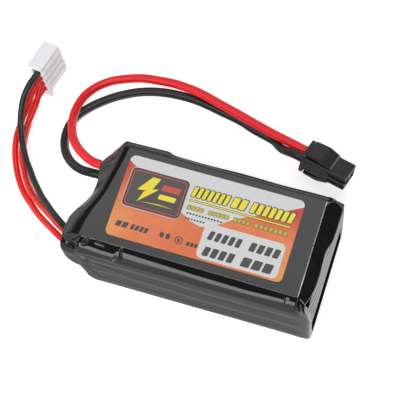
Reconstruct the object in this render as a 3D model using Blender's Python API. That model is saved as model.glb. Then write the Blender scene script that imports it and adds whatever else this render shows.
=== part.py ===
"""Three-cell lipo battery pack with its discharge and balance leads.

Frame: origin under the middle of the pack, +Z up. The leads leave the -X end, the plain
end is +X, and the long front side faces -Y. Units are metres.
"""

import math

import bmesh
import bpy
from mathutils import Matrix, Vector

MM = 0.001

# ---- driving dimensions -------------------------------------------------------------
LENGTH = 62.5 * MM  # plain end to the tip of the wrap's front horn; 59 to the wrap's lip
WIDTH = 30.0 * MM
HEIGHT = 23.0 * MM
LABEL_THICKNESS = 0.12 * MM
LABEL_GAP = 0.08 * MM
WALL = 0.3 * MM  # heat-shrink film
GAP = 0.25 * MM  # between neighbours that touch on the real pack

PLATE_THICKNESS = 0.5 * MM
FOAM_THICKNESS = 0.5 * MM
CELL_COUNT = 3
CELL_HALF_WIDTH = 14.0 * MM
CELL_FRONT = 29.0 * MM
CELL_BACK = -19.2 * MM
TERRACE_END = -21.8 * MM
TERRACE_HALF_THICKNESS = 0.3 * MM

TAB_WIDTH = 5.0 * MM
TAB_THICKNESS = 0.2 * MM
TAB_OFFSET = 6.8 * MM  # of each tab from the middle of its cell
TAB_FLANGE = 2.6 * MM

BOARD_BACK = -24.1 * MM
BOARD_FRONT = -24.9 * MM

MAIN_DIAMETER = 2.3 * MM
BALANCE_DIAMETER = 1.65 * MM
ROUTE_STEP = 2.0  # spacing of a lead's points, in diameters

DISCHARGE_PLUG_AT = Vector((17.0, 30.4, 4.7)) * MM  # middle of its wire-end face
DISCHARGE_PLUG_YAW = math.radians(-13.2)
DISCHARGE_PLUG_ROLL = math.radians(-20.0)
DISCHARGE_PLUG_LENGTH = 12.6 * MM
DISCHARGE_PLUG_HALF_WIDTH = 2.95 * MM
DISCHARGE_PLUG_HALF_HEIGHT = 2.1 * MM
DISCHARGE_FLANGE_HALF = 3.1 * MM
DISCHARGE_FLANGE_THICKNESS = 1.0 * MM
DISCHARGE_PITCH = 2.75 * MM
DISCHARGE_CAVITY = 2.45 * MM
LATCH_HINGE_X = 8.2 * MM
LATCH_HALF_WIDTH = 2.7 * MM

BALANCE_PLUG_AT = Vector((-53.8, 34.6, 6.7)) * MM  # middle of the housing
BALANCE_PLUG_YAW = math.radians(-102.0)
BALANCE_PLUG_ROLL = math.radians(9.7)
BALANCE_PLUG_PITCH = math.radians(-6.0)
BALANCE_PLUG_LENGTH = 8.4 * MM
BALANCE_PLUG_THICKNESS = 4.3 * MM
BALANCE_PLUG_WIDTH = 10.3 * MM
BALANCE_FOOT = Vector((1.0, 0.0, 1.5)) * MM  # how far along the plug, and below it
BALANCE_RIB = 0.35 * MM
BALANCE_PITCH = 2.2 * MM
BALANCE_CAVITY = 1.95 * MM
BALANCE_WIRE_SIDE = 0.75 * MM  # of the row of leads from the middle of the housing

# Routes of the leads, from the solder joints to a few millimetres short of the plugs.
MAIN_RED_ROUTE = (
    (-26.3, 8.6, 15.9), (-29.1, 9.2, 16.2), (-31.5, 9.7, 15.6), (-34.2, 11.2, 14.0),
    (-37.2, 13.5, 12.0), (-39.7, 16.4, 9.7), (-41.6, 19.7, 7.3), (-42.9, 23.3, 5.4),
    (-43.3, 27.1, 4.1), (-42.8, 31.0, 3.0), (-40.7, 35.0, 1.9), (-37.0, 38.2, 1.3),
    (-31.0, 40.6, 1.2), (-26.1, 41.2, 1.5), (-20.6, 41.1, 2.4), (-14.1, 40.0, 3.3),
    (-8.2, 38.4, 3.5), (-2.3, 36.8, 3.6), (3.0, 35.3, 3.6), (8.2, 33.9, 3.8),
)
MAIN_BLACK_ROUTE = (
    (-26.3, 7.2, 13.1), (-28.9, 7.6, 13.4), (-31.6, 7.8, 12.8), (-34.4, 8.4, 11.2),
    (-37.2, 9.8, 9.1), (-39.5, 11.6, 7.1), (-41.4, 13.7, 5.4), (-42.8, 16.0, 4.0),
    (-43.8, 18.6, 2.7), (-44.3, 21.4, 1.6), (-44.0, 24.0, 1.2), (-42.8, 26.6, 1.2),
    (-40.6, 29.3, 1.2), (-37.7, 32.0, 1.2), (-34.4, 34.4, 1.2), (-30.0, 36.7, 1.2),
    (-25.0, 38.2, 1.2), (-19.5, 38.8, 1.2), (-14.0, 38.6, 1.2), (-8.0, 37.5, 1.2),
    (-2.0, 36.25, 1.2), (2.2, 34.8, 1.3), (7.5, 33.4, 1.3), (10.6, 31.15, 2.8),
)
BALANCE_BLACK_ROUTE = (
    (-26.3, -10.4, 16.5), (-28.8, -10.2, 16.6), (-32.1, -8.6, 16.2), (-34.9, -6.7, 15.1),
    (-37.4, -4.8, 13.5), (-39.7, -2.8, 11.7), (-42, -0.8, 10), (-44.2, 1.5, 8.5),
    (-46.3, 3.8, 7.1), (-48.4, 6.4, 5.9), (-50.5, 9, 5.2), (-52.4, 11.9, 4.8),
    (-54, 14.8, 4.8), (-55.4, 18, 5.3), (-56.1, 21.1, 6.6), (-56.2, 24, 8.3),
    (-55.6, 27.1, 9.9),
)
BALANCE_RED_1_ROUTE = (
    (-26.3, -10.9, 11.9), (-28.8, -11.5, 12.4), (-32.4, -10.7, 12.3), (-35.4, -9, 11.3),
    (-38.1, -7.3, 9.7), (-40.6, -5.6, 7.9), (-43, -3.8, 6.1), (-45.3, -1.8, 4.5),
    (-47.8, 0.3, 3.1), (-50.1, 2.7, 2), (-52.2, 5.5, 1.3), (-54, 8.6, 1),
    (-55.4, 11.8, 0.9), (-56.4, 15.3, 1), (-56.6, 18.8, 1.6), (-56.2, 21.9, 3),
    (-55.6, 24.5, 5.2), (-54.8, 27.1, 7.4),
)
BALANCE_RED_2_ROUTE = (
    (-26.3, -10.5, 14.2), (-28.8, -10.6, 14.6), (-32.1, -9.2, 14.3), (-34.8, -7.2, 13.2),
    (-37.4, -5.5, 11.6), (-39.8, -3.9, 9.8), (-42.2, -2.2, 7.9), (-44.6, -0.4, 6.1),
    (-46.9, 1.7, 4.7), (-49, 4.2, 3.6), (-50.8, 7, 3.1), (-52.4, 9.8, 2.9),
    (-53.5, 12.9, 2.9), (-54.1, 16, 2.9), (-54.3, 19.2, 3.2), (-54, 22.4, 3.8),
    (-53.7, 25.5, 4.8),
)
BALANCE_RED_3_ROUTE = (
    (-26.3, -8.3, 9.8), (-28.8, -9, 10.4), (-32.3, -8.3, 10.5), (-35.3, -6.7, 9.8),
    (-37.9, -4.9, 8.5), (-40.4, -3.2, 6.8), (-42.8, -1.5, 5.1), (-45.2, 0.4, 3.5),
    (-47.5, 2.6, 2.2), (-49.7, 5.2, 1.4), (-51.5, 8, 1), (-53, 11, 0.9),
    (-54, 14.2, 0.9), (-54.5, 17.3, 0.9), (-54.8, 20.2, 1), (-55, 23, 1.4),
    (-54.8, 25.7, 2.3),
)


def clear_scene():
    for old in list(bpy.data.objects):
        bpy.data.objects.remove(old, do_unlink=True)


def principled(name, colour, roughness, metallic=0.0):
    """A Principled BSDF material with one colour."""
    material = bpy.data.materials.new(name)
    material.use_nodes = True
    shader = material.node_tree.nodes["Principled BSDF"]
    shader.inputs["Base Color"].default_value = (*colour, 1.0)
    shader.inputs["Roughness"].default_value = roughness
    shader.inputs["Metallic"].default_value = metallic
    return material


def add_object(name, bm, material, parent=None, smooth_angle=35.0):
    """Turns a bmesh into a named object with outward normals, under its parent's frame."""
    bmesh.ops.recalc_face_normals(bm, faces=bm.faces)
    mesh = bpy.data.meshes.new(name)
    bm.to_mesh(mesh)
    bm.free()
    mesh.shade_smooth()
    mesh.set_sharp_from_angle(angle=math.radians(smooth_angle))
    mesh.materials.append(material)
    obj = bpy.data.objects.new(name, mesh)
    bpy.context.collection.objects.link(obj)
    obj.parent = parent
    return obj


def add_empty(name, matrix):
    empty = bpy.data.objects.new(name, None)
    empty.empty_display_size = 3 * MM
    bpy.context.collection.objects.link(empty)
    empty.matrix_world = matrix
    return empty


def rounded_rectangle(y0, y1, z0, z1, radius, steps=3, flats=1):
    """Points round a rectangle in YZ with round corners, counterclockwise seen from +X.

    Each corner has steps sides, and the sides along Y are divided into flats.
    """
    corners = (
        (y1 - radius, z1 - radius, 0.0),
        (y0 + radius, z1 - radius, 0.5 * math.pi),
        (y0 + radius, z0 + radius, math.pi),
        (y1 - radius, z0 + radius, 1.5 * math.pi),
    )
    points = []
    for index, (y, z, start) in enumerate(corners):
        for step in range(steps + 1):
            angle = start + 0.5 * math.pi * step / steps
            points.append((y + radius * math.cos(angle), z + radius * math.sin(angle)))
        if index % 2 == 0:
            last_y, last_z = points[-1]
            run = corners[index + 1][0] - y
            for step in range(1, flats):
                points.append((last_y + run * step / flats, last_z))
    return points


def skin(bm, rings, capped=True):
    """Faces between rings of equally many points, and over both ends if capped."""
    loops = [[bm.verts.new(point) for point in ring] for ring in rings]
    for first, second in zip(loops, loops[1:]):
        for i in range(len(first)):
            j = (i + 1) % len(first)
            bm.faces.new((first[i], first[j], second[j], second[i]))
    if capped:
        bm.faces.new(loops[0])
        bm.faces.new(loops[-1])


def loft(name, sections, material, parent=None):
    """A solid through rounded rectangles: each section is (x, y0, y1, z0, z1, radius)."""
    bm = bmesh.new()
    rings = []
    for x, y0, y1, z0, z1, radius in sections:
        outline = rounded_rectangle(y0, y1, z0, z1, radius)
        rings.append([(x, y, z) for y, z in outline])
    skin(bm, rings)
    return add_object(name, bm, material, parent)


def block(name, low, high, material, parent=None, bevel=0.0):
    """A box between two corners, its edges rounded by a Bevel modifier."""
    bm = bmesh.new()
    bmesh.ops.create_cube(bm, size=1.0)
    size = [b - a for a, b in zip(low, high)]
    middle = [0.5 * (a + b) for a, b in zip(low, high)]
    bmesh.ops.scale(bm, vec=size, verts=bm.verts)
    bmesh.ops.translate(bm, vec=middle, verts=bm.verts)
    obj = add_object(name, bm, material, parent)
    if bevel:
        modifier = obj.modifiers.new("round_edges", "BEVEL")
        modifier.width = bevel
        modifier.segments = 2
    return obj


def extrusion(name, outline, start, depth, material, parent=None):
    """A solid from an outline of 3-D points, extruded by a vector."""
    bm = bmesh.new()
    face = bm.faces.new([bm.verts.new(Vector(point) + Vector(start)) for point in outline])
    grown = bmesh.ops.extrude_face_region(bm, geom=[face])["geom"]
    moved = [item for item in grown if isinstance(item, bmesh.types.BMVert)]
    bmesh.ops.translate(bm, vec=depth, verts=moved)
    return add_object(name, bm, material, parent)


def cutter(obj):
    """Hides a helper that another object's Boolean uses."""
    obj.hide_render = True
    obj.display_type = "WIRE"
    return obj


def boolean(obj, other, operation):
    modifier = obj.modifiers.new(other.name, "BOOLEAN")
    modifier.object = other
    modifier.operation = operation
    modifier.solver = "EXACT"


# ---- the wrap -----------------------------------------------------------------------
LABEL_TOP = HEIGHT
WRAP_TOP = LABEL_TOP - LABEL_THICKNESS - LABEL_GAP
PLAIN_END = 0.5 * LENGTH
HALF_WIDTH = 0.5 * WIDTH


def smoothstep(value):
    value = min(max(value, 0.0), 1.0)
    return value * value * (3.0 - 2.0 * value)


def plate_edge(y):
    """X of the slanted edge where the wrap leaves the top plate at the wire end."""
    return -24.1 * MM + 0.107 * y


def wrap_lip(y):
    """X of the wrap's free edge at the wire end: the front horn and the small back one."""
    horn = smoothstep((-y - 0.5 * MM) / (9.5 * MM))
    back = smoothstep(1.0 - abs(y - 8.5 * MM) / (5.0 * MM))
    corner = smoothstep((-y - 12.0 * MM) / (2.5 * MM))
    return -27.75 * MM - 3.5 * MM * horn - 0.8 * MM * back + 1.2 * MM * corner


WRAP_FLATS = 7  # divisions of the wrap's top and bottom across the pack
# Each tail ring: how far from the plate's edge to the lip, y0, y1, z0, z1, corner radius.
TAIL = (
    (0.00, -15.0, 15.0, 0.0, WRAP_TOP / MM, 2.8),
    (0.22, -15.0, 14.9, 0.9, 21.9, 3.0),
    (0.45, -14.9, 14.2, 2.6, 20.4, 3.2),
    (0.72, -14.6, 12.7, 5.7, 19.4, 3.2),
    (1.00, -13.7, 11.0, 8.4, 18.6, 2.8),
)
# Each plain-end ring: x, then how far the top, sides and bottom turn in, and corner radius.
CURL = (
    (30.6, 12.6, 2.6, 3.6, 1.2),
    (30.95, 11.0, 2.2, 3.0, 1.5),
    (31.15, 7.5, 1.6, 2.2, 1.9),
    (31.25, 5.0, 1.1, 1.5, 2.2),
    (31.0, 3.0, 0.7, 0.9, 2.5),
    (30.2, 1.4, 0.35, 0.45, 2.8),
    (29.0, 0.45, 0.12, 0.15, 3.0),
    (27.2, 0.0, 0.0, 0.0, 2.8),
)


def wrap_rings():
    rings = []
    for x, top, side, bottom, radius in CURL:
        outline = rounded_rectangle(
            -HALF_WIDTH + side * MM,
            HALF_WIDTH - side * MM,
            bottom * MM,
            WRAP_TOP - top * MM,
            radius * MM,
            flats=WRAP_FLATS,
        )
        rings.append([(x * MM, y, z) for y, z in outline])
    for share, y0, y1, z0, z1, radius in TAIL:
        sides = [value * MM for value in (y0, y1, z0, z1, radius)]
        outline = rounded_rectangle(*sides, flats=WRAP_FLATS)
        ring = []
        for y, z in outline:
            x = (1.0 - share) * plate_edge(y) + share * wrap_lip(y)
            ring.append((x, y, z))
        rings.append(ring)
    return rings


def build_wrap(material):
    """The heat-shrink sleeve: one film, open at both ends."""
    bm = bmesh.new()
    skin(bm, wrap_rings(), capped=False)
    wrap = add_object("shrink_wrap", bm, material)
    film = wrap.modifiers.new("film", "SOLIDIFY")
    film.thickness = WALL
    film.offset = -1.0
    film.use_even_offset = True


def build_label(material):
    """The sticker on top of the wrap, with rounded corners."""
    bm = bmesh.new()
    outline = rounded_rectangle(-9.5 * MM, 11.6 * MM, -22.5 * MM, 21.0 * MM, 1.4 * MM, 4)
    bottom = LABEL_TOP - LABEL_THICKNESS
    rings = [[(-along, y, z) for y, along in outline] for z in (bottom, LABEL_TOP)]
    skin(bm, rings)
    add_object("label", bm, material)


# ---- the stack inside ---------------------------------------------------------------
STACK_LOW = WALL + GAP
STACK_HIGH = WRAP_TOP - WALL - GAP
CELL_LOW = STACK_LOW + PLATE_THICKNESS + GAP
CELL_HIGH = STACK_HIGH - PLATE_THICKNESS - GAP
CELL_SPACING = FOAM_THICKNESS + 2 * GAP
CELL_THICKNESS = (CELL_HIGH - CELL_LOW - (CELL_COUNT - 1) * CELL_SPACING) / CELL_COUNT


def cell_middle(index):
    return CELL_LOW + (index + 0.5) * CELL_THICKNESS + index * CELL_SPACING


def build_plate(name, low, material):
    """A stiff sheet with rounded corners, its wire end slanted like the wrap over it."""
    outline = []
    for y in (-12.2 * MM, 12.6 * MM):
        outline.append((plate_edge(y) + 0.8 * MM, y, 0.0))
    outline.append((27.6 * MM, 12.6 * MM, 0.0))
    outline.append((27.6 * MM, -12.2 * MM, 0.0))
    extrusion(name, outline, (0.0, 0.0, low), (0.0, 0.0, PLATE_THICKNESS), material)


def build_cell(index, material):
    """A pouch cell: a full body with soft edges and a thin sealed terrace."""
    middle = cell_middle(index)
    half = 0.5 * CELL_THICKNESS
    thin = TERRACE_HALF_THICKNESS
    wide = CELL_HALF_WIDTH
    shapes = (
        (CELL_FRONT, wide - 0.9 * MM, half - 1.1 * MM, 1.2 * MM),
        (CELL_FRONT - 0.9 * MM, wide, half, 1.8 * MM),
        (CELL_BACK + 1.0 * MM, wide, half, 1.8 * MM),
        (CELL_BACK, wide - 0.7 * MM, half - 1.0 * MM, 1.2 * MM),
        (CELL_BACK - 0.5 * MM, wide - 1.0 * MM, thin, 0.25 * MM),
        (TERRACE_END, wide - 1.0 * MM, thin, 0.25 * MM),
    )
    sections = [(x, -y, y, middle - z, middle + z, radius) for x, y, z, radius in shapes]
    loft(f"cell_{index + 1}", sections, material)


def build_tab(name, y, middle, rises, material):
    """A nickel tab: straight out of the terrace, then folded flat behind the board."""
    half = 0.5 * TAB_THICKNESS
    start = TERRACE_END - GAP
    fold = BOARD_BACK + GAP
    up = TAB_FLANGE if rises else -TAB_FLANGE
    side = half if rises else -half
    outline = (
        (start, 0.0, middle - side),
        (start, 0.0, middle + side),
        (fold + TAB_THICKNESS, 0.0, middle + side),
        (fold + TAB_THICKNESS, 0.0, middle + up),
        (fold, 0.0, middle + up),
        (fold, 0.0, middle - side),
    )
    offset = (0.0, y - 0.5 * TAB_WIDTH, 0.0)
    extrusion(name, outline, offset, (0.0, TAB_WIDTH, 0.0), material)


def build_film(name, y, middle, material):
    """The sealing film: a flat sleeve round a tab where it leaves the terrace."""
    start = TERRACE_END - GAP
    low = (start - 1.0 * MM, y - 3.1 * MM, middle - 0.4 * MM)
    high = (start - 0.05 * MM, y + 3.1 * MM, middle + 0.4 * MM)
    film = block(name, low, high, material)
    clear = 0.5 * TAB_WIDTH + 0.15 * MM
    slot_low = (start - 2.0 * MM, y - clear, middle - 0.22 * MM)
    slot_high = (start + 1.0 * MM, y + clear, middle + 0.22 * MM)
    slot = block(f"slot_{name}", slot_low, slot_high, material)
    boolean(film, cutter(slot), "DIFFERENCE")


def build_foam(index, material):
    """A foam tape between two neighbouring cells."""
    low = cell_middle(index) + 0.5 * CELL_THICKNESS + GAP
    corner = (CELL_BACK + 2.0 * MM, -11.5 * MM, low)
    other = (CELL_FRONT - 2.0 * MM, 11.5 * MM, low + FOAM_THICKNESS)
    block(f"foam_tape_{index + 1}", corner, other, material)


def build_end_pad(material):
    """The foam pad that covers the cells' plain ends, seen in the curled opening."""
    sections = (
        (CELL_FRONT + GAP, -12.6 * MM, 12.6 * MM, 2.6 * MM, 20.2 * MM, 1.5 * MM),
        (CELL_FRONT + 0.95 * MM, -12.2 * MM, 12.2 * MM, 3.0 * MM, 19.8 * MM, 1.5 * MM),
    )
    loft("end_pad", sections, material)


def build_board(material):
    low = (BOARD_FRONT, -12.6 * MM, 5.0 * MM)
    high = (BOARD_BACK, 10.6 * MM, 18.6 * MM)
    block("tab_board", low, high, material)


def tail_top(share):
    """Height of the wrap's outer face along the tail, from the plate's edge to the lip."""
    for first, second in zip(TAIL, TAIL[1:]):
        if share <= second[0]:
            part = (share - first[0]) / (second[0] - first[0])
            return (first[4] + part * (second[4] - first[4])) * MM
    return TAIL[-1][4] * MM


def build_terminal_cover(material):
    """A stiff paper strip under the tail of the wrap, over the board and its joints."""
    bm = bmesh.new()
    thickness = 0.25 * MM
    clear = WALL + 1.6 * GAP
    rings = []
    for share in (0.5, 0.72, 0.92):
        top = tail_top(share) - clear
        upper = []
        lower = []
        for step in range(7):
            y = (-10.8 + 3.2 * step) * MM
            x = (1.0 - share) * plate_edge(y) + share * wrap_lip(y)
            upper.append((x, y, top))
            lower.append((x, y, top - thickness))
        rings.append(upper + lower[::-1])
    skin(bm, rings)
    add_object("terminal_cover", bm, material)


def build_solder(name, y, z, radius, material):
    """A solder joint: a low cone on the outer face of the board."""
    bm = bmesh.new()
    height = 0.85 * MM
    middle = BOARD_FRONT - GAP - 0.5 * height
    turn = Matrix.Rotation(math.radians(-90.0), 4, "Y")
    bmesh.ops.create_cone(
        bm,
        cap_ends=True,
        segments=12,
        radius1=radius,
        radius2=0.55 * radius,
        depth=height,
        matrix=Matrix.Translation((middle, y, z)) @ turn,
    )
    add_object(name, bm, material)


# ---- the leads ----------------------------------------------------------------------
def plug_matrix(place, yaw, roll, pitch=0.0):
    level = Matrix.Translation(place) @ Matrix.Rotation(yaw, 4, "Z")
    return level @ Matrix.Rotation(pitch, 4, "Y") @ Matrix.Rotation(roll, 4, "X")


DISCHARGE_FRAME = plug_matrix(DISCHARGE_PLUG_AT, DISCHARGE_PLUG_YAW, DISCHARGE_PLUG_ROLL)
BALANCE_FRAME = plug_matrix(
    BALANCE_PLUG_AT, BALANCE_PLUG_YAW, BALANCE_PLUG_ROLL, BALANCE_PLUG_PITCH
)


def spline_point(p0, p1, p2, p3, t):
    """A point of the Catmull-Rom curve between p1 and p2."""
    linear = (p2 - p0) * t
    square = (2 * p0 - 5 * p1 + 4 * p2 - p3) * t * t
    cubic = (3 * p1 - p0 - 3 * p2 + p3) * t * t * t
    return 0.5 * (2 * p1 + linear + square + cubic)


def smooth_route(points, spacing):
    """Evenly spaced points of one smooth curve through a route's own points."""
    ends = [2 * points[0] - points[1], *points, 2 * points[-1] - points[-2]]
    fine = []
    for i in range(1, len(ends) - 2):
        for step in range(20):
            fine.append(spline_point(*ends[i - 1 : i + 3], step / 20))
    fine.append(points[-1])
    travelled = [0.0]
    for first, second in zip(fine, fine[1:]):
        travelled.append(travelled[-1] + (second - first).length)
    count = round(travelled[-1] / spacing)
    even = []
    place = 0
    for step in range(count + 1):
        wanted = travelled[-1] * step / count
        while place < len(fine) - 2 and travelled[place + 1] < wanted:
            place += 1
        run = travelled[place + 1] - travelled[place]
        even.append(fine[place].lerp(fine[place + 1], (wanted - travelled[place]) / run))
    return even


def build_lead(name, route, plug, inside, outside, diameter, material):
    """A lead along its route and on into its plug, given in the plug's own frame."""
    points = [Vector(point) * MM for point in route]
    points.append(plug @ outside)
    points.append(plug @ inside)
    curve = bpy.data.curves.new(name, "CURVE")
    curve.dimensions = "3D"
    curve.bevel_depth = 0.5 * diameter
    curve.bevel_resolution = 2
    curve.use_fill_caps = True
    curve.materials.append(material)
    even = smooth_route(points, ROUTE_STEP * diameter)
    spline = curve.splines.new("POLY")
    spline.points.add(len(even) - 1)
    for knot, point in zip(spline.points, even):
        knot.co = (*point, 1.0)
    lead = bpy.data.objects.new(name, curve)
    bpy.context.collection.objects.link(lead)


def build_main_leads(red, black):
    row = 0.5 * DISCHARGE_PITCH
    end = 1.5 * MM
    for name, route, y, before, material in (
        ("main_wire_red", MAIN_RED_ROUTE, row, -3.2 * MM, red),
        ("main_wire_black", MAIN_BLACK_ROUTE, -row, -2.4 * MM, black),
    ):
        inside = Vector((end, y, 0.0))
        outside = Vector((before, y, 0.0))
        build_lead(name, route, DISCHARGE_FRAME, inside, outside, MAIN_DIAMETER, material)


def balance_row(index):
    """Height of a balance lead in the housing's own frame, the first one on top."""
    return (1.5 - index) * BALANCE_PITCH


def build_balance_leads(red, black):
    face = 0.5 * BALANCE_PLUG_LENGTH
    leads = (
        ("balance_wire_black", BALANCE_BLACK_ROUTE, black),
        ("balance_wire_red_1", BALANCE_RED_1_ROUTE, red),
        ("balance_wire_red_2", BALANCE_RED_2_ROUTE, red),
        ("balance_wire_red_3", BALANCE_RED_3_ROUTE, red),
    )
    for index, (name, route, material) in enumerate(leads):
        inside = Vector((face - 1.3 * MM, BALANCE_WIRE_SIDE, balance_row(index)))
        outside = Vector((face + 0.5 * MM, BALANCE_WIRE_SIDE, balance_row(index)))
        build_lead(name, route, BALANCE_FRAME, inside, outside, BALANCE_DIAMETER, material)


# ---- the discharge plug -------------------------------------------------------------
def build_discharge_housing(frame, material):
    """Flange, body and nose in one moulding, with two through cavities and side grooves."""
    flange = DISCHARGE_FLANGE_HALF
    wide = DISCHARGE_PLUG_HALF_WIDTH
    high = DISCHARGE_PLUG_HALF_HEIGHT
    step = DISCHARGE_FLANGE_THICKNESS
    end = DISCHARGE_PLUG_LENGTH
    sections = (
        (0.0, -flange, flange, -flange, flange, 0.3 * MM),
        (step, -flange, flange, -flange, flange, 0.3 * MM),
        (step, -wide, wide, -high, high, 0.2 * MM),
        (end - 0.2 * MM, -wide, wide, -high, high, 0.2 * MM),
        (end, -wide + 0.2 * MM, wide - 0.2 * MM, -high + 0.2 * MM, high - 0.2 * MM, 0.2 * MM),
    )
    housing = loft("discharge_plug", sections, material, frame)
    half = 0.5 * DISCHARGE_CAVITY
    for side in (-1, 1):
        y = side * 0.5 * DISCHARGE_PITCH
        low = (-1.0 * MM, y - half, -half)
        high_corner = (end + 1.0 * MM, y + half, half)
        cavity = block(f"cavity_{side}", low, high_corner, material, frame)
        boolean(housing, cutter(cavity), "DIFFERENCE")
        for row in (-1.05 * MM, 0.75 * MM):
            inner = side * (wide - 0.28 * MM)
            outer = side * (wide + 1.0 * MM)
            low = (7.8 * MM, min(inner, outer), row - 0.45 * MM)
            high_corner = (end + 1.0 * MM, max(inner, outer), row + 0.45 * MM)
            groove = block(f"groove_{side}_{row:.4f}", low, high_corner, material, frame)
            boolean(housing, cutter(groove), "DIFFERENCE")


def build_latch(name, side, frame, material):
    """A latch lever: its root near the nose, its free end and thumb hump at the flange."""
    hinge = add_empty(f"{name}_hinge", Matrix.Identity(4))
    hinge.parent = frame
    hinge.location = (LATCH_HINGE_X, 0.0, side * 2.35 * MM)
    profile = (
        (0.0, 0.0),
        (-0.5, 0.55),
        (-3.0, 1.45),
        (-3.5, 1.5),
        (-6.0, 1.35),
        (-7.0, 1.2),
        (-7.0, 0.65),
        (-5.0, 0.6),
        (-2.2, 0.15),
        (-1.0, 0.0),
    )
    outline = [(x * MM, 0.0, side * z * MM) for x, z in profile]
    low = (0.0, -LATCH_HALF_WIDTH, 0.0)
    extrusion(name, outline, low, (0.0, 2 * LATCH_HALF_WIDTH, 0.0), material, hinge)


def build_discharge_plug(plastic, metal):
    frame = add_empty("discharge_plug_frame", DISCHARGE_FRAME)
    build_discharge_housing(frame, plastic)
    build_latch("latch_upper", 1, frame, plastic)
    build_latch("latch_lower", -1, frame, plastic)
    for name, side in (("pos", 1), ("neg", -1)):
        y = side * 0.5 * DISCHARGE_PITCH
        half = 0.9 * MM
        sections = (
            (1.8 * MM, y - half, y + half, -half, half, 0.3 * MM),
            (6.0 * MM, y - half, y + half, -half, half, 0.3 * MM),
            (6.5 * MM, y - 0.6 * MM, y + 0.6 * MM, -0.6 * MM, 0.6 * MM, 0.25 * MM),
            (11.6 * MM, y - 0.6 * MM, y + 0.6 * MM, -0.6 * MM, 0.6 * MM, 0.25 * MM),
        )
        loft(f"discharge_contact_{name}", sections, metal, frame)


# ---- the balance plug ---------------------------------------------------------------
def ribbed_outline(half_thickness, half_width):
    """The housing's YZ outline: a rectangle with four ribs on each wide face."""
    points = []
    for side in (1, -1):
        points.append((side * half_thickness, -side * half_width))
        for index in range(4):
            z = side * (index - 1.5) * BALANCE_PITCH
            for edge, proud in ((-0.65, 0.0), (-0.5, BALANCE_RIB), (0.5, BALANCE_RIB), (0.65, 0.0)):
                points.append((side * (half_thickness + proud), z + side * edge * MM))
        points.append((side * half_thickness, side * half_width))
    return points


def build_balance_housing(frame, material):
    """A ribbed block with four through cavities and a foot below its wire end."""
    start = -0.5 * BALANCE_PLUG_LENGTH
    half_thickness = 0.5 * BALANCE_PLUG_THICKNESS
    half_width = 0.5 * BALANCE_PLUG_WIDTH
    outline = [(start, y, z) for y, z in ribbed_outline(half_thickness, half_width)]
    depth = (BALANCE_PLUG_LENGTH, 0.0, 0.0)
    housing = extrusion("balance_plug", outline, (0.0, 0.0, 0.0), depth, material, frame)
    low = (-start - BALANCE_FOOT.x, -half_thickness, -half_width - BALANCE_FOOT.z)
    high = (-start, half_thickness + BALANCE_RIB, -half_width + 0.4 * MM)
    foot = block("balance_foot", low, high, material, frame)
    boolean(housing, cutter(foot), "UNION")
    half = 0.5 * BALANCE_CAVITY
    for index in range(4):
        z = balance_row(index)
        low = (start - 1.0 * MM, BALANCE_WIRE_SIDE - 1.6 * MM, z - half)
        high = (-start + 1.0 * MM, BALANCE_WIRE_SIDE + 1.0 * MM, z + half)
        cavity = block(f"balance_cavity_{index + 1}", low, high, material, frame)
        boolean(housing, cutter(cavity), "DIFFERENCE")


def build_balance_plug(plastic, metal):
    frame = add_empty("balance_plug_frame", BALANCE_FRAME)
    build_balance_housing(frame, plastic)
    start = -0.5 * BALANCE_PLUG_LENGTH
    for index in range(4):
        z = balance_row(index)
        low = (start + 0.9 * MM, -0.3 * MM, z - 0.55 * MM)
        high = (start + 6.4 * MM, 1.2 * MM, z + 0.55 * MM)
        block(f"balance_contact_{index + 1}", low, high, metal, frame)


# ---- assembly -----------------------------------------------------------------------
def build_inside():
    """Everything that the wrap holds."""
    plate = principled("plate_board", (0.05, 0.05, 0.05), 0.6)
    pouch = principled("pouch_film", (0.62, 0.63, 0.65), 0.3, 0.8)
    nickel = principled("nickel", (0.6, 0.58, 0.54), 0.3, 1.0)
    seal = principled("seal_film", (0.75, 0.68, 0.45), 0.4)
    foam = principled("foam", (0.2, 0.2, 0.21), 0.9)
    board = principled("circuit_board", (0.03, 0.16, 0.07), 0.5)
    paper = principled("insulating_paper", (0.25, 0.3, 0.2), 0.7)
    solder = principled("solder", (0.62, 0.62, 0.6), 0.3, 1.0)
    build_plate("bottom_plate", STACK_LOW, plate)
    build_plate("top_plate", STACK_HIGH - PLATE_THICKNESS, plate)
    for index in range(CELL_COUNT):
        build_cell(index, pouch)
        middle = cell_middle(index)
        for pole, side in (("neg", -1), ("pos", 1)):
            # Neighbouring cells are turned over, so that unlike poles meet.
            y = side * TAB_OFFSET * (-1) ** index
            rises = index == 0 or (index == 1 and pole == "pos")
            build_tab(f"tab_{index + 1}_{pole}", y, middle, rises, nickel)
            build_film(f"film_{index + 1}_{pole}", y, middle, seal)
    for index in range(CELL_COUNT - 1):
        build_foam(index, foam)
    build_end_pad(foam)
    build_board(board)
    build_terminal_cover(paper)
    build_solder("solder_main_pos", 8.4 * MM, 15.9 * MM, 1.3 * MM, solder)
    build_solder("solder_main_neg", 6.9 * MM, 12.5 * MM, 1.3 * MM, solder)
    balance_joints = ((-10.4, 16.5), (-10.7, 11.8), (-10.5, 14.1), (-8.1, 9.6))
    for index, (y, z) in enumerate(balance_joints):
        build_solder(f"solder_balance_{index + 1}", y * MM, z * MM, 0.9 * MM, solder)


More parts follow.
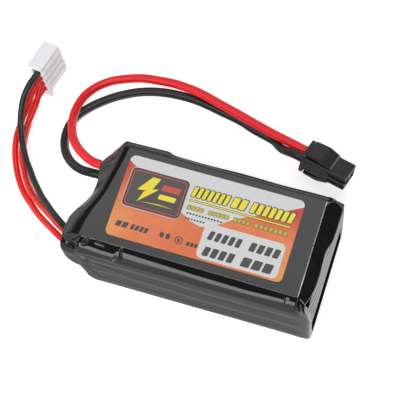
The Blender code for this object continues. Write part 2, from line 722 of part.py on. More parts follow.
def build_all():
    clear_scene()
    build_wrap(principled("heat_shrink", (0.045, 0.045, 0.046), 0.3))
    build_label(principled("label_print", (0.85, 0.25, 0.08), 0.35))
    build_inside()
    red = principled("red_silicone", (0.72, 0.02, 0.025), 0.4)
    black = principled("black_silicone", (0.02, 0.02, 0.022), 0.4)
    build_main_leads(red, black)
    build_balance_leads(red, black)
    tin = principled("tinned_contact", (0.7, 0.68, 0.62), 0.3, 1.0)
    build_discharge_plug(principled("black_nylon", (0.03, 0.03, 0.032), 0.5), tin)
    build_balance_plug(principled("white_nylon", (0.85, 0.84, 0.86), 0.45), tin)
    bpy.context.view_layer.update()


build_all()
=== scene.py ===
"""Looks of the lipo battery pack: film, label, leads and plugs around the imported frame."""

import math

import bmesh
import bpy
import numpy as np
from mathutils import Matrix, Vector


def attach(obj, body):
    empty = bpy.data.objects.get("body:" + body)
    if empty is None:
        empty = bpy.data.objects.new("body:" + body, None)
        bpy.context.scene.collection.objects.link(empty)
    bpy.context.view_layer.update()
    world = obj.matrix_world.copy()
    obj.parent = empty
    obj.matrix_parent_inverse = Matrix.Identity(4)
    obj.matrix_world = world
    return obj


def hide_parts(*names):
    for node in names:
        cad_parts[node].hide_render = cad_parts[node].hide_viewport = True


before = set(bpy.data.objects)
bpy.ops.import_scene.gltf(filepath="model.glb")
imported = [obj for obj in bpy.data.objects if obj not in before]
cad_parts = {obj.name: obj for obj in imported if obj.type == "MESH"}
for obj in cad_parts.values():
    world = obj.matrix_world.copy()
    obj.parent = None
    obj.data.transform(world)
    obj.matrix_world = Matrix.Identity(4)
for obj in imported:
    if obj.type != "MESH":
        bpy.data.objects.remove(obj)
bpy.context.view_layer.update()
MM = 0.001


# ---- camera -------------------------------------------------------------------------
def make_camera():
    right = Vector((0.9514, 0.3025, -0.0577)).normalized()
    back = Vector((0.1604, -0.327, 0.9313)).normalized()
    up = back.cross(right).normalized()
    right = up.cross(back)
    turn = Matrix((right, up, back)).transposed().to_4x4()
    data = bpy.data.cameras.new("camera")
    data.lens = 135
    data.sensor_width = 36
    data.clip_start = 0.01
    data.clip_end = 50
    camera = bpy.data.objects.new("camera", data)
    bpy.context.scene.collection.objects.link(camera)
    camera.matrix_world = Matrix.Translation(Vector((55.3, -111.4, 354.2)) * MM) @ turn
    bpy.context.scene.camera = camera


make_camera()


# ---- materials ----------------------------------------------------------------------
class Shader:
    """A Principled material and short calls that add nodes to it."""

    def __init__(self, name, colour=(0.5, 0.5, 0.5), roughness=0.5, metallic=0.0, **more):
        self.material = bpy.data.materials.new(name)
        self.material.use_nodes = True
        self.tree = self.material.node_tree
        self.body = self.tree.nodes["Principled BSDF"]
        self.set("Base Color", (*colour, 1.0))
        self.set("Roughness", roughness)
        self.set("Metallic", metallic)
        for key, value in more.items():
            self.set(key.replace("_", " "), value)
        self.place = None

    def set(self, socket, value):
        self.link(value, self.body.inputs[socket])

    def link(self, value, socket):
        if isinstance(value, bpy.types.NodeSocket):
            self.tree.links.new(value, socket)
        else:
            socket.default_value = value

    def node(self, kind, inputs=None, **settings):
        made = self.tree.nodes.new(kind)
        for key, value in settings.items():
            setattr(made, key, value)
        for key, value in (inputs or {}).items():
            self.link(value, made.inputs[key])
        return made

    def where(self):
        if self.place is None:
            self.place = self.node("ShaderNodeTexCoord").outputs["Object"]
        return self.place

    def stretched(self, scale):
        inputs = {"Vector": self.where(), "Scale": scale}
        return self.node("ShaderNodeMapping", inputs).outputs["Vector"]

    def noise(self, scale, detail=3.0, stretch=(1, 1, 1), roughness=0.5):
        inputs = {"Vector": self.stretched(stretch), "Scale": scale, "Detail": detail, "Roughness": roughness}
        return self.node("ShaderNodeTexNoise", inputs).outputs["Fac"]

    def math(self, operation, a, b=0.0, c=0.0):
        return self.node("ShaderNodeMath", {0: a, 1: b, 2: c}, operation=operation).outputs[0]

    def ramp(self, value, low, high, out_low=0.0, out_high=1.0):
        inputs = {"Value": value, "From Min": low, "From Max": high, "To Min": out_low, "To Max": out_high}
        return self.node("ShaderNodeMapRange", inputs, interpolation_type="SMOOTHSTEP").outputs[0]

    def mix(self, factor, first, second):
        made = self.node("ShaderNodeMix", data_type="RGBA")
        self.link(factor, made.inputs[0])
        self.link((*first, 1.0) if isinstance(first, tuple) else first, made.inputs[6])
        self.link((*second, 1.0) if isinstance(second, tuple) else second, made.inputs[7])
        return made.outputs[2]

    def bump(self, height, distance, strength=1.0, under=None):
        inputs = {"Height": height, "Distance": distance, "Strength": strength}
        if under is not None:
            inputs["Normal"] = under
        normal = self.node("ShaderNodeBump", inputs).outputs["Normal"]
        self.set("Normal", normal)
        return normal


def film_material():
    """Black heat-shrink film: glossy, with faint draw lines along the pack."""
    shader = Shader("heat_shrink_film", (0.004, 0.004, 0.0045), 0.16)
    lines = shader.noise(900, 3, (0.12, 1, 1))
    cloud = shader.noise(160, 2)
    shader.set("Base Color", shader.mix(cloud, (0.003, 0.003, 0.0034), (0.006, 0.006, 0.0066)))
    shader.set("Roughness", shader.ramp(shader.noise(240, 3, (0.5, 1, 1)), 0.35, 0.7, 0.13, 0.19))
    fine = shader.bump(lines, 0.00002)
    shader.bump(shader.noise(3500, 2), 0.000003, 1.0, fine)
    return shader.material


def silicone(name, dark, light, roughness=0.36):
    shader = Shader(name, light, roughness, Specular_IOR_Level=0.35)
    shader.set("Base Color", shader.mix(shader.noise(420, 3), dark, light))
    shader.set("Roughness", shader.ramp(shader.noise(900, 3), 0.3, 0.7, roughness - 0.05, roughness + 0.08))
    shader.bump(shader.noise(2600, 3), 0.000012)
    return shader.material


def moulded(name, dark, light, roughness, grain=0.000012, **more):
    """Injection-moulded nylon with a fine spark-eroded grain."""
    shader = Shader(name, light, roughness, **more)
    shader.set("Base Color", shader.mix(shader.noise(500, 4), dark, light))
    shader.set("Roughness", shader.ramp(shader.noise(800, 2), 0.3, 0.7, roughness - 0.06, roughness + 0.08))
    shader.bump(shader.noise(5200, 3), grain)
    return shader.material


def metal(name, dark, light, roughness, stretch=(1, 1, 1), grain=0.000004):
    shader = Shader(name, light, roughness, 1.0)
    shader.set("Base Color", shader.mix(shader.noise(600, 4, stretch), dark, light))
    wear = shader.ramp(shader.noise(1500, 3, stretch), 0.3, 0.7, roughness - 0.08, roughness + 0.1)
    shader.set("Roughness", wear)
    shader.bump(shader.noise(4000, 3, stretch), grain)
    return shader.material


def dull(name, dark, light, roughness, scale=900, grain=0.00002, stretch=(1, 1, 1), **more):
    """Foam, card, board and other matt stock."""
    shader = Shader(name, light, roughness, **more)
    shader.set("Base Color", shader.mix(shader.noise(scale, 5, stretch), dark, light))
    shader.bump(shader.noise(2 * scale, 4, stretch), grain)
    return shader.material


# ---- leads --------------------------------------------------------------------------
MAIN_DIAMETER = 2.3 * MM
BALANCE_DIAMETER = 1.65 * MM
DISCHARGE_PITCH = 2.75  # between the contacts of each plug, in millimetres
BALANCE_PITCH = 2.2

# Routes of the leads in millimetres, as in the CAD source.
MAIN_RED_ROUTE = (
    (-26.3, 8.6, 15.9), (-29.1, 9.2, 16.2), (-31.5, 9.7, 15.6), (-34.2, 11.2, 14.0),
    (-37.2, 13.5, 12.0), (-39.7, 16.4, 9.7), (-41.6, 19.7, 7.3), (-42.9, 23.3, 5.4),
    (-43.3, 27.1, 4.1), (-42.8, 31.0, 3.0), (-40.7, 35.0, 1.9), (-37.0, 38.2, 1.3),
    (-31.0, 40.6, 1.2), (-26.1, 41.2, 1.5), (-20.6, 41.1, 2.4), (-14.1, 40.0, 3.3),
    (-8.2, 38.4, 3.5), (-2.3, 36.8, 3.6), (3.0, 35.3, 3.6), (8.2, 33.9, 3.8),
)
MAIN_BLACK_ROUTE = (
    (-26.3, 7.2, 13.1), (-28.9, 7.6, 13.4), (-31.6, 7.8, 12.8), (-34.4, 8.4, 11.2),
    (-37.2, 9.8, 9.1), (-39.5, 11.6, 7.1), (-41.4, 13.7, 5.4), (-42.8, 16.0, 4.0),
    (-43.8, 18.6, 2.7), (-44.3, 21.4, 1.6), (-44.0, 24.0, 1.2), (-42.8, 26.6, 1.2),
    (-40.6, 29.3, 1.2), (-37.7, 32.0, 1.2), (-34.4, 34.4, 1.2), (-30.0, 36.7, 1.2),
    (-25.0, 38.2, 1.2), (-19.5, 38.8, 1.2), (-14.0, 38.6, 1.2), (-8.0, 37.5, 1.2),
    (-2.0, 36.25, 1.2), (2.2, 34.8, 1.3), (7.5, 33.4, 1.3), (10.6, 31.15, 2.8),
)
BALANCE_BLACK_ROUTE = (
    (-26.3, -10.4, 16.5), (-28.8, -10.2, 16.6), (-32.1, -8.6, 16.2), (-34.9, -6.7, 15.1),
    (-37.4, -4.8, 13.5), (-39.7, -2.8, 11.7), (-42, -0.8, 10), (-44.2, 1.5, 8.5),
    (-46.3, 3.8, 7.1), (-48.4, 6.4, 5.9), (-50.5, 9, 5.2), (-52.4, 11.9, 4.8),
    (-54, 14.8, 4.8), (-55.4, 18, 5.3), (-56.1, 21.1, 6.6), (-56.2, 24, 8.3),
    (-55.6, 27.1, 9.9),
)
BALANCE_RED_1_ROUTE = (
    (-26.3, -10.9, 11.9), (-28.8, -11.5, 12.4), (-32.4, -10.7, 12.3), (-35.4, -9, 11.3),
    (-38.1, -7.3, 9.7), (-40.6, -5.6, 7.9), (-43, -3.8, 6.1), (-45.3, -1.8, 4.5),
    (-47.8, 0.3, 3.1), (-50.1, 2.7, 2), (-52.2, 5.5, 1.3), (-54, 8.6, 1),
    (-55.4, 11.8, 0.9), (-56.4, 15.3, 1), (-56.6, 18.8, 1.6), (-56.2, 21.9, 3),
    (-55.6, 24.5, 5.2), (-54.8, 27.1, 7.4),
)
BALANCE_RED_2_ROUTE = (
    (-26.3, -10.5, 14.2), (-28.8, -10.6, 14.6), (-32.1, -9.2, 14.3), (-34.8, -7.2, 13.2),
    (-37.4, -5.5, 11.6), (-39.8, -3.9, 9.8), (-42.2, -2.2, 7.9), (-44.6, -0.4, 6.1),
    (-46.9, 1.7, 4.7), (-49, 4.2, 3.6), (-50.8, 7, 3.1), (-52.4, 9.8, 2.9),
    (-53.5, 12.9, 2.9), (-54.1, 16, 2.9), (-54.3, 19.2, 3.2), (-54, 22.4, 3.8),
    (-53.7, 25.5, 4.8),
)
BALANCE_RED_3_ROUTE = (
    (-26.3, -8.3, 9.8), (-28.8, -9, 10.4), (-32.3, -8.3, 10.5), (-35.3, -6.7, 9.8),
    (-37.9, -4.9, 8.5), (-40.4, -3.2, 6.8), (-42.8, -1.5, 5.1), (-45.2, 0.4, 3.5),
    (-47.5, 2.6, 2.2), (-49.7, 5.2, 1.4), (-51.5, 8, 1), (-53, 11, 0.9),
    (-54, 14.2, 0.9), (-54.5, 17.3, 0.9), (-54.8, 20.2, 1), (-55, 23, 1.4),
    (-54.8, 25.7, 2.3),
)


def plug_matrix(place, yaw, roll, pitch=0.0):
    level = Matrix.Translation(Vector(place) * MM) @ Matrix.Rotation(math.radians(yaw), 4, "Z")
    return level @ Matrix.Rotation(math.radians(pitch), 4, "Y") @ Matrix.Rotation(math.radians(roll), 4, "X")


DISCHARGE_FRAME = plug_matrix((17.0, 30.4, 4.7), -13.2, -20.0)
BALANCE_FRAME = plug_matrix((-53.8, 34.6, 6.7), -102.0, 9.7, -6.0)


def spline_point(p0, p1, p2, p3, t):
    """A point of the Catmull-Rom curve between p1 and p2."""
    linear = (p2 - p0) * t
    square = (2 * p0 - 5 * p1 + 4 * p2 - p3) * t * t
    cubic = (3 * p1 - p0 - 3 * p2 + p3) * t * t * t
    return 0.5 * (2 * p1 + linear + square + cubic)


def smooth_route(points, steps=8):
    ends = [2 * points[0] - points[1], *points, 2 * points[-1] - points[-2]]
    fine = []
    for i in range(1, len(ends) - 2):
        for step in range(steps):
            fine.append(spline_point(*ends[i - 1 : i + 3], step / steps))
    fine.append(points[-1])
    return fine


def make_lead(name, node, route, plug, outside, inside, diameter, material, slot, carried):
    points = [Vector(point) * MM for point in route]
    points.append(plug @ (Vector(outside) * MM))
    points.append(plug @ (Vector(inside) * MM))
    fine = smooth_route(points)
    curve = bpy.data.curves.new(name, "CURVE")
    curve.dimensions = "3D"
    curve.bevel_depth = 0.5 * diameter
    curve.bevel_resolution = 6
    curve.use_fill_caps = True
    curve.materials.append(material)
    spline = curve.splines.new("POLY")
    spline.points.add(len(fine) - 1)
    for knot, point in zip(spline.points, fine):
        knot.co = (*point, 1.0)
    spline.use_smooth = True
    lead = bpy.data.objects.new(name, curve)
    bpy.context.scene.collection.objects.link(lead)
    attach(lead, "pack")
    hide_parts(node)
    return lead


RED = silicone("red_silicone", (0.8, 0.006, 0.011), (0.86, 0.011, 0.017))
BALANCE_RED = silicone("balance_red_silicone", (0.72, 0.008, 0.003), (0.8, 0.012, 0.006), 0.3)
BLACK = silicone("black_silicone", (0.008, 0.008, 0.009), (0.015, 0.015, 0.017), 0.34)

DISCHARGE_PIECES = [
    "discharge_plug",
    "discharge_contact_pos",
    "discharge_contact_neg",
    "latch_upper",
    "latch_lower",
]
BALANCE_PIECES = ["balance_plug"] + [f"balance_contact_{i}" for i in (1, 2, 3, 4)]


def make_leads():
    row = 0.5 * DISCHARGE_PITCH
    main = (
        ("red_main_lead", "main_wire_red", MAIN_RED_ROUTE, row, -3.2, RED, "red_lead"),
        ("black_main_lead", "main_wire_black", MAIN_BLACK_ROUTE, -row, -2.4, BLACK, "black_lead"),
    )
    for name, node, route, y, before, material, slot in main:
        ends = (before, y, 0), (1.5, y, 0)
        make_lead(name, node, route, DISCHARGE_FRAME, *ends, MAIN_DIAMETER, material, slot, DISCHARGE_PIECES)
    balance = (
        ("black_balance_lead", "balance_wire_black", BALANCE_BLACK_ROUTE, BLACK, "black_lead"),
        ("red_balance_lead_1", "balance_wire_red_1", BALANCE_RED_1_ROUTE, BALANCE_RED, "red_lead"),
        ("red_balance_lead_2", "balance_wire_red_2", BALANCE_RED_2_ROUTE, BALANCE_RED, "red_lead"),
        ("red_balance_lead_3", "balance_wire_red_3", BALANCE_RED_3_ROUTE, BALANCE_RED, "red_lead"),
    )
    for index, (name, node, route, material, slot) in enumerate(balance):
        z = (1.5 - index) * BALANCE_PITCH
        ends = (4.7, 0.75, z), (2.9, 0.75, z)
        make_lead(name, node, route, BALANCE_FRAME, *ends, BALANCE_DIAMETER, material, slot, BALANCE_PIECES)


make_leads()


# ---- the wrap -----------------------------------------------------------------------
def smoothstep(value):
    value = np.clip(value, 0.0, 1.0)
    return value * value * (3.0 - 2.0 * value)


def bell(value, middle, width):
    """A smooth bump of height 1, about as wide as width."""
    return np.exp(-(((value - middle) / (0.5 * width)) ** 2))


def plate_edge(y):
    return -24.1 + 0.107 * y


def board_front(x):
    return np.interp(x, (-25, 5, 27), (-11.4, -11.4, -11.6))


def wrap_lip(y):
    horn = smoothstep((-y + 1.5) / 9.5)
    back = smoothstep(1.0 - np.abs(y - 8.5) / 5.0)
    corner = smoothstep((-y - 13.2) / 1.8)
    return -27.75 - 3.5 * horn - 0.8 * back + 0.5 * corner


FRONT = -15.0
FILM_TOP = 22.76
BOARD_TOP = 22.8
BOARD_END = 27.0
BOARD_BACK = 13.55
SLOPE = 0.92
# Plain-end rings: x, then how far the sides and bottom turn in, how far the corners
# sink, and the corner radius.
CURL = (
    (26.85, 0.0, 0.0, 0.0, 2.4),
    (27.45, 0.0, 0.0, 0.1, 2.4),
    (29.2, 0.03, 0.05, 1.5, 2.4),
    (30.5, 0.15, 0.12, 2.8, 2.3),
    (31.1, 0.5, 0.3, 5.0, 2.2),
    (31.25, 1.1, 0.55, 7.3, 1.9),
    (31.15, 1.9, 0.85, 9.6, 1.5),
    (30.7, 2.6, 1.1, 10.8, 1.1),
)
CURL_STEPS = (8, 8, 8, 16, 16, 16, 8)
RIM_RINGS = 8
CREASE_RING = 24
LIP_RING = 72
FLAP_LOW = 11.8
# Tail rings: share of the way to the lip, then y0, y1, z0, the heights of the front and
# the back, and corner radius.
TAIL = (
    (0.00, -15.0, 15.2, 0.0, 22.6, 22.3, 2.8),
    (0.10, -15.0, 15.2, 0.2, 22.4, 22.2, 2.8),
    (0.25, -15.0, 15.1, 1.1, 22.0, 21.8, 2.8),
    (0.45, -15.0, 14.5, 2.7, 21.3, 20.4, 2.9),
    (0.72, -14.9, 13.5, 5.7, 20.5, 18.2, 3.0),
    (0.90, -14.7, 12.8, 7.6, 19.9, 16.8, 3.0),
    (1.00, -14.4, 12.3, 8.4, 19.4, 16.2, 2.8),
)
TAIL_STEPS = (9,) * 6
# Columns of the sleeve's grid in each stretch of its section, from the middle of the
# back side over the top to the front, and round the bottom.
COLUMNS = (12, 9, 4, 3, 6, 56, 9, 34, 40, 10, 20, 8, 12)


def refine(table, steps):
    rows = [np.array(row, float) for row in table]
    ends = [2 * rows[0] - rows[1], *rows, 2 * rows[-1] - rows[-2]]
    fine = []
    for i, count in enumerate(steps):
        for step in range(count):
            fine.append(spline_point(*ends[i : i + 4], step / count))
    fine.append(rows[-1])
    return fine


def run(start, end, count):
    """Evenly spaced points from start towards end, without the last one."""
    share = (np.arange(count) / count)[:, None]
    return np.array(start, float) + (np.array(end, float) - np.array(start, float)) * share


def arc(middle, radius_y, radius_z, first, last, count):
    angles = np.radians(first + (last - first) * np.arange(count) / count)
    return np.column_stack([middle[0] + radius_y * np.cos(angles), middle[1] + radius_z * np.sin(angles)])


def front_shape(width, flat, band, tilt):
    """The film from the board's front edge outwards: nearly flat, a sloping band, then round to the side."""
    tilts = np.concatenate([np.full(6, tilt), (14, 16, 17.5, 19), np.linspace(20.5, 29, 7), (31, 33, 35, 37)])
    spans = np.concatenate([np.full(6, flat / 6), np.full(4, 0.045), np.full(7, band / 7), np.full(4, 0.05)])
    spans = spans * min(1.0, 0.9 * width / spans.sum())
    round_tilts = np.radians(np.linspace(39, 89.5, 13))
    lengths = (width - spans.sum()) / np.cos(round_tilts).sum()
    dy = np.concatenate([[0.0], -spans, -lengths * np.cos(round_tilts)])
    dz = np.concatenate([[0.0], -spans * np.tan(np.radians(tilts)), -lengths * np.sin(round_tilts)])
    return np.column_stack([np.cumsum(dy), np.cumsum(dz)])


def section(y0, y1, z0, z1, front, back, low, ridge=0.0, rear=None, flat=1.3, band=0.8, tilt=10.0):
    """Points round the wrap's section. Front, back and low are the sizes of its corners."""
    n = COLUMNS
    rear = z1 if rear is None else rear
    top_back = y1 - 0.62
    shelf = y0 + front
    edge = front_shape(front, flat, band, tilt) + (shelf, z1)
    parts = [
        run((y1, 11.4), (y1, rear + ridge - back), n[0]),
        arc((y1 - 0.62, rear + ridge - back), 0.62, back, 0.0, 90.0, n[1]),
        run((top_back, rear + ridge), (top_back - 0.6, rear), n[2]),
        run((top_back - 0.6, rear), (top_back - 0.9, rear), n[3]),
        run((top_back - 0.9, rear), (top_back - 1.6, rear), n[4]),
        run((top_back - 1.6, rear), (shelf + 0.5, z1), n[5]),
        run((shelf + 0.5, z1), (shelf, z1), n[6]),
        edge[:-1],
        run(edge[-1], (y0, z0 + low), n[8]),
        arc((y0 + low, z0 + low), low, low, 180.0, 270.0, n[9]),
        run((y0 + low, z0), (y1 - low, z0), n[10]),
        arc((y1 - low, z0 + low), low, low, 270.0, 360.0, n[11]),
        run((y1, z0 + low), (y1, 11.4), n[12]),
    ]
    return np.concatenate(parts)


def body_section(x):
    """The film's section over the cells: lower and squarer towards the wire end."""
    low_end = smoothstep((-15.5 - x) / 0.8)
    rear_x = (-25.0, -15.5, -13.2, -11.5, -5.0, 10.0, 27.0)
    rear = np.interp(x, rear_x, (22.3, 22.25, 22.2, 21.8, 21.9, 22.1, 22.1))
    bunch = smoothstep((-12.6 - x) / 1.8)
    y1 = 14.75 + 0.08 * math.sin(0.31 * x) + 0.45 * bunch
    ridge = 0.01 * math.sin(0.55 * x + 1.0)
    front = 15.0 + float(board_front(x)) - 0.05
    flat_x = (-25.0, -16.2, -15.4, -13.9, 3.2, 15.5, 24.0, 27.0)
    flat = front - 3.25 + np.interp(x, flat_x, (1.3, 1.9, 0.8, 0.8, 1.25, 1.4, 1.1, 1.0))
    band = np.interp(x, (-16.2, -15.4, -13.9, -6.5, 3.2, 24.0), (0.8, 1.15, 1.15, 1.05, 0.85, 0.8))
    low = np.interp(x, (-24.0, 27.0), (1.5, 2.4))
    back = 0.9 + 0.4 * low_end
    tilt = 10.0 + 2.0 * low_end
    return section(FRONT, y1, 0.0, FILM_TOP, front, back, low, ridge, rear, flat, band, tilt)


def crease(y):
    """x of the wavy crease where the plain end's slope breaks into the steep flap."""
    ys = (-15, -11.7, -9.8, -7.6, -5.5, -3.7, -1.0, 1.4, 3.0, 4.4, 5.8, 9.0, 12.3)
    xs = (28.8, 29.3, 29.9, 30.25, 30.35, 30.4, 30.25, 30.15, 30.45, 30.9, 31.1, 31.18, 31.2)
    return np.interp(y, ys, xs)


def end_profile(ring, y):
    """x and z of the film over the plain end on one ring: rim, slope, flap and lip."""
    corner = crease(y)
    if ring <= CREASE_RING:
        rim = CURL[1][0]
        if ring <= RIM_RINGS:
            x = np.full(y.shape, CURL[0][0] + (rim - CURL[0][0]) * ring / RIM_RINGS)
        else:
            x = rim + (corner - rim) * (ring - RIM_RINGS) / (CREASE_RING - RIM_RINGS)
        return x, softmax(board_height(x, y * 0.0), back_tent(x, y), 0.3)
    high = softmax(board_height(corner, y * 0.0), back_tent(corner, y), 0.3)
    share = min(1.0, (ring - CREASE_RING) / (LIP_RING - CREASE_RING))
    x = corner + (31.25 - corner) * share**0.8
    z = high + (FLAP_LOW - high) * share
    pleat = np.sin(2 * math.pi * (share * 6.2 + 0.05 * np.sin(0.7 * y + 1.0)))
    pleat = 0.05 * pleat + 0.028 * np.sin(2 * math.pi * (share * 10.3 + 0.1 * np.sin(0.45 * y)))
    x = x - pleat * smoothstep(share / 0.06) * smoothstep((1.0 - share) / 0.06)
    under = max(0.0, (ring - LIP_RING) / CURL_STEPS[-1])
    return x - 0.6 * under, z - 0.35 * math.sin(0.5 * math.pi * under)


def column_weights():
    """1 over the top of the section, falling to 0 round both upper corners."""
    n = COLUMNS
    up = smoothstep(np.arange(n[1]) / n[1])
    down = 1.0 - smoothstep((np.arange(n[7]) - 4) / (n[7] - 4))
    return np.concatenate([np.zeros(n[0]), up, np.ones(sum(n[2:7])), down, np.zeros(sum(n[8:]))])


def front_lift(x):
    """How far the sleeve's cut lower edge climbs at the front corner of the wire end."""
    return np.interp(x, (-31.2, -29.8, -28.2, -27.0, -26.2, -25.4, -24.3), (4.5, 3.5, 6.1, 7.7, 5.8, 2.1, 0.0))


def wrap_grid():
    """The sleeve's outer surface as rows of points, before the board and the folds."""
    rows = []
    weights = column_weights()
    for ring, (x, side, bottom, sink, radius) in enumerate(refine(CURL, CURL_STEPS)):
        ease = smoothstep((x - 27.45) / 2.5) if ring <= CREASE_RING else 1.0
        body = body_section(min(x, 27.5))
        back = 0.9 + (radius - 1.3) * ease
        y0, y1 = FRONT + side, 14.65 - 0.5 * side
        yz = section(y0, y1, bottom, FILM_TOP - sink, radius + 0.6, back, radius, 0.0, None, 1.0, 0.8)
        yz = body * (1 - ease) + yz * ease
        end_x, end_z = end_profile(ring, yz[:, 0])
        along = weights * end_x + (1 - weights) * x
        blend = weights * smoothstep((x - 26.85) / 0.5) if ring <= RIM_RINGS else weights
        height = blend * end_z + (1 - blend) * yz[:, 1]
        rows.append(np.column_stack([along, yz[:, 0], height]))
    rows.reverse()
    start = CURL[0][0]
    shares = np.concatenate([np.linspace(0, 0.80, 92)[1:], np.linspace(0.80, 1, 72)[1:-1]])
    for share in shares:
        middle = (1 - share) * start + share * plate_edge(0.0)
        yz = body_section(middle)
        x = (1 - share) * start + share * plate_edge(yz[:, 0])
        rows.append(np.column_stack([x, yz]))
    last = body_section(plate_edge(0.0))
    for share, y0, y1, z0, z1, rear, radius in refine(TAIL, TAIL_STEPS):
        ease = smoothstep(share / 0.35)
        yz = section(y0, y1, z0, z1, radius + 0.6, 1.0 + 0.9 * ease, radius, 0.3 * (1 - ease), rear, 1.0, 0.8)
        yz = last * (1 - ease) + yz * ease
        x = (1 - share) * plate_edge(yz[:, 0]) + share * wrap_lip(yz[:, 0])
        rows.append(np.column_stack([x, yz]))
    grid = np.array(rows)
    x, y, z = grid[..., 0], grid[..., 1], grid[..., 2]
    lowest = z.min(axis=1, keepdims=True)
    lift = front_lift(x) * smoothstep((-y - 10.8) / 2.8) * np.clip((19.0 - z) / (19.0 - lowest), 0.0, 1.0)
    grid[..., 2] = z + lift
    return grid


def grid_normals(grid):
    along = np.gradient(grid, axis=0)
    across = np.roll(grid, -1, axis=1) - np.roll(grid, 1, axis=1)
    normal = np.cross(along, across)
    length = np.linalg.norm(normal, axis=2, keepdims=True)
    normal = normal / np.maximum(length, 1e-9)
    outward = grid - grid.reshape(-1, 3).mean(0)
    return normal if (outward * normal).sum() > 0 else -normal


def softmax(first, second, blend):
    """The larger of two heights, with the join rounded over blend."""
    share = np.clip(0.5 + 0.5 * (first - second) / blend, 0.0, 1.0)
    return second + (first - second) * share + blend * share * (1.0 - share)


def segment_distance(x, y, start, end):
    """Distance from the points (x, y) to a segment, and how far along it they lie."""
    run_x, run_y = end[0] - start[0], end[1] - start[1]
    share = ((x - start[0]) * run_x + (y - start[1]) * run_y) / (run_x**2 + run_y**2)
    near = np.clip(share, 0.0, 1.0)
    return np.hypot(x - start[0] - near * run_x, y - start[1] - near * run_y), share


def bend(distance, start, stop):
    """What a slope of 1 falls when it comes in gradually between start and stop."""
    into = np.clip(distance - start, 0.0, stop - start)
    return 0.5 * into**2 / (stop - start) + np.maximum(distance - stop, 0.0)


def tail_height(x, y):
    """How far the film over the wire end has come down: level, then a soft valley and a slope to the lip."""
    ys = (-15.0, -12.0, -8.7, -4.2, 1.8, 5.0, 8.3, 10.6, 12.5, 15.0)
    fall = np.interp(y, ys, (3.3, 2.8, 2.8, 3.3, 3.6, 3.7, 3.7, 5.2, 6.6, 7.4))
    valley = np.interp(y, (-11, -7.5, -4, -1.3, 1.5, 8.3, 14), (3.0, 2.8, 2.1, 1.3, 0.75, 0.4, 0.35))
    half = np.interp(y, (-11.0, -4.0, 1.5), (1.4, 1.0, 0.8))
    reach = plate_edge(y) - wrap_lip(y)
    beyond = np.clip(plate_edge(y) - x, -3.0, 1.2 * reach)

    def shallow(distance):
        start = valley - half
        return 0.23 * bend(distance, start - 0.7, start) + 0.235 * bend(distance, start, valley + half)

    def steep(distance):
        return bend(distance, valley + half, valley + half + 0.5)

    return shallow(beyond) + (fall - shallow(reach)) / steep(reach) * steep(beyond)


def back_tent(x, y):
    """Height of the film where it stays up over the back corner of the plain end."""
    return 22.3 - 0.2 * (x - 27.0) - 2.0 * np.maximum(14.0 - y, 0.0)


def board_height(x, y):
    """Height of the film where the stiff board under it holds it up."""
    end = np.maximum(x - BOARD_END, 0.0)
    rim = 0.34 + 1.2 * smoothstep((y - 11.9) / 1.6)
    plain_end = np.minimum(end, rim) * 0.32 + np.maximum(end - rim, 0.0) * SLOPE
    front = np.maximum(board_front(x) - y, 0.0) * np.where(x < plate_edge(y), 1.2, 3.0)
    back = 1.2 * bend(y, BOARD_BACK - 0.5, BOARD_BACK + 0.3)
    corner = np.hypot(plain_end, np.minimum(front, 3.0) * 0.5)
    drop = np.where(end > 0, corner + 0.5 * np.minimum(front, 3.0), plain_end + front)
    return BOARD_TOP - drop - back - tail_height(x, y)


# Creases in the film seen from above: start, end, width, depth (below zero: raised).
FOLDS = (
    ((-15.8, -12.0), (-15.5, -14.6), 0.45, 0.42),
    ((24.9, -12.6), (25.2, -14.2), 0.6, 0.3),
    ((-22.4, -12.0), (-19.8, -12.3), 0.4, -0.16),
    ((-24.2, -11.9), (-25.0, -13.2), 0.9, 0.4),
    ((-29.4, -13.0), (-26.9, -14.3), 1.1, 0.6),
    ((-26.7, -14.2), (-26.5, -14.5), 0.6, -0.3),
    ((-31.0, -9.0), (-31.1, -14.2), 0.7, -0.16),
    ((27.1, -11.7), (29.4, -12.8), 0.4, -0.14),
)
# The same on the front side, as x and z.
SIDE_FOLDS = (
    ((-27.0, 16.0), (-26.0, 11.6), 0.9, -0.25),
    ((-26.0, 11.6), (-23.2, 6.0), 1.1, -0.22),
    ((-25.1, 17.2), (-24.6, 15.2), 1.3, 0.9),
    ((-24.4, 19.4), (-16.4, 18.8), 0.6, 0.16),
    ((-24.0, 14.6), (-14.0, 12.6), 1.2, -0.1),
)


CELL_PITCH = 7.2
FILM_THICKNESS = 0.3


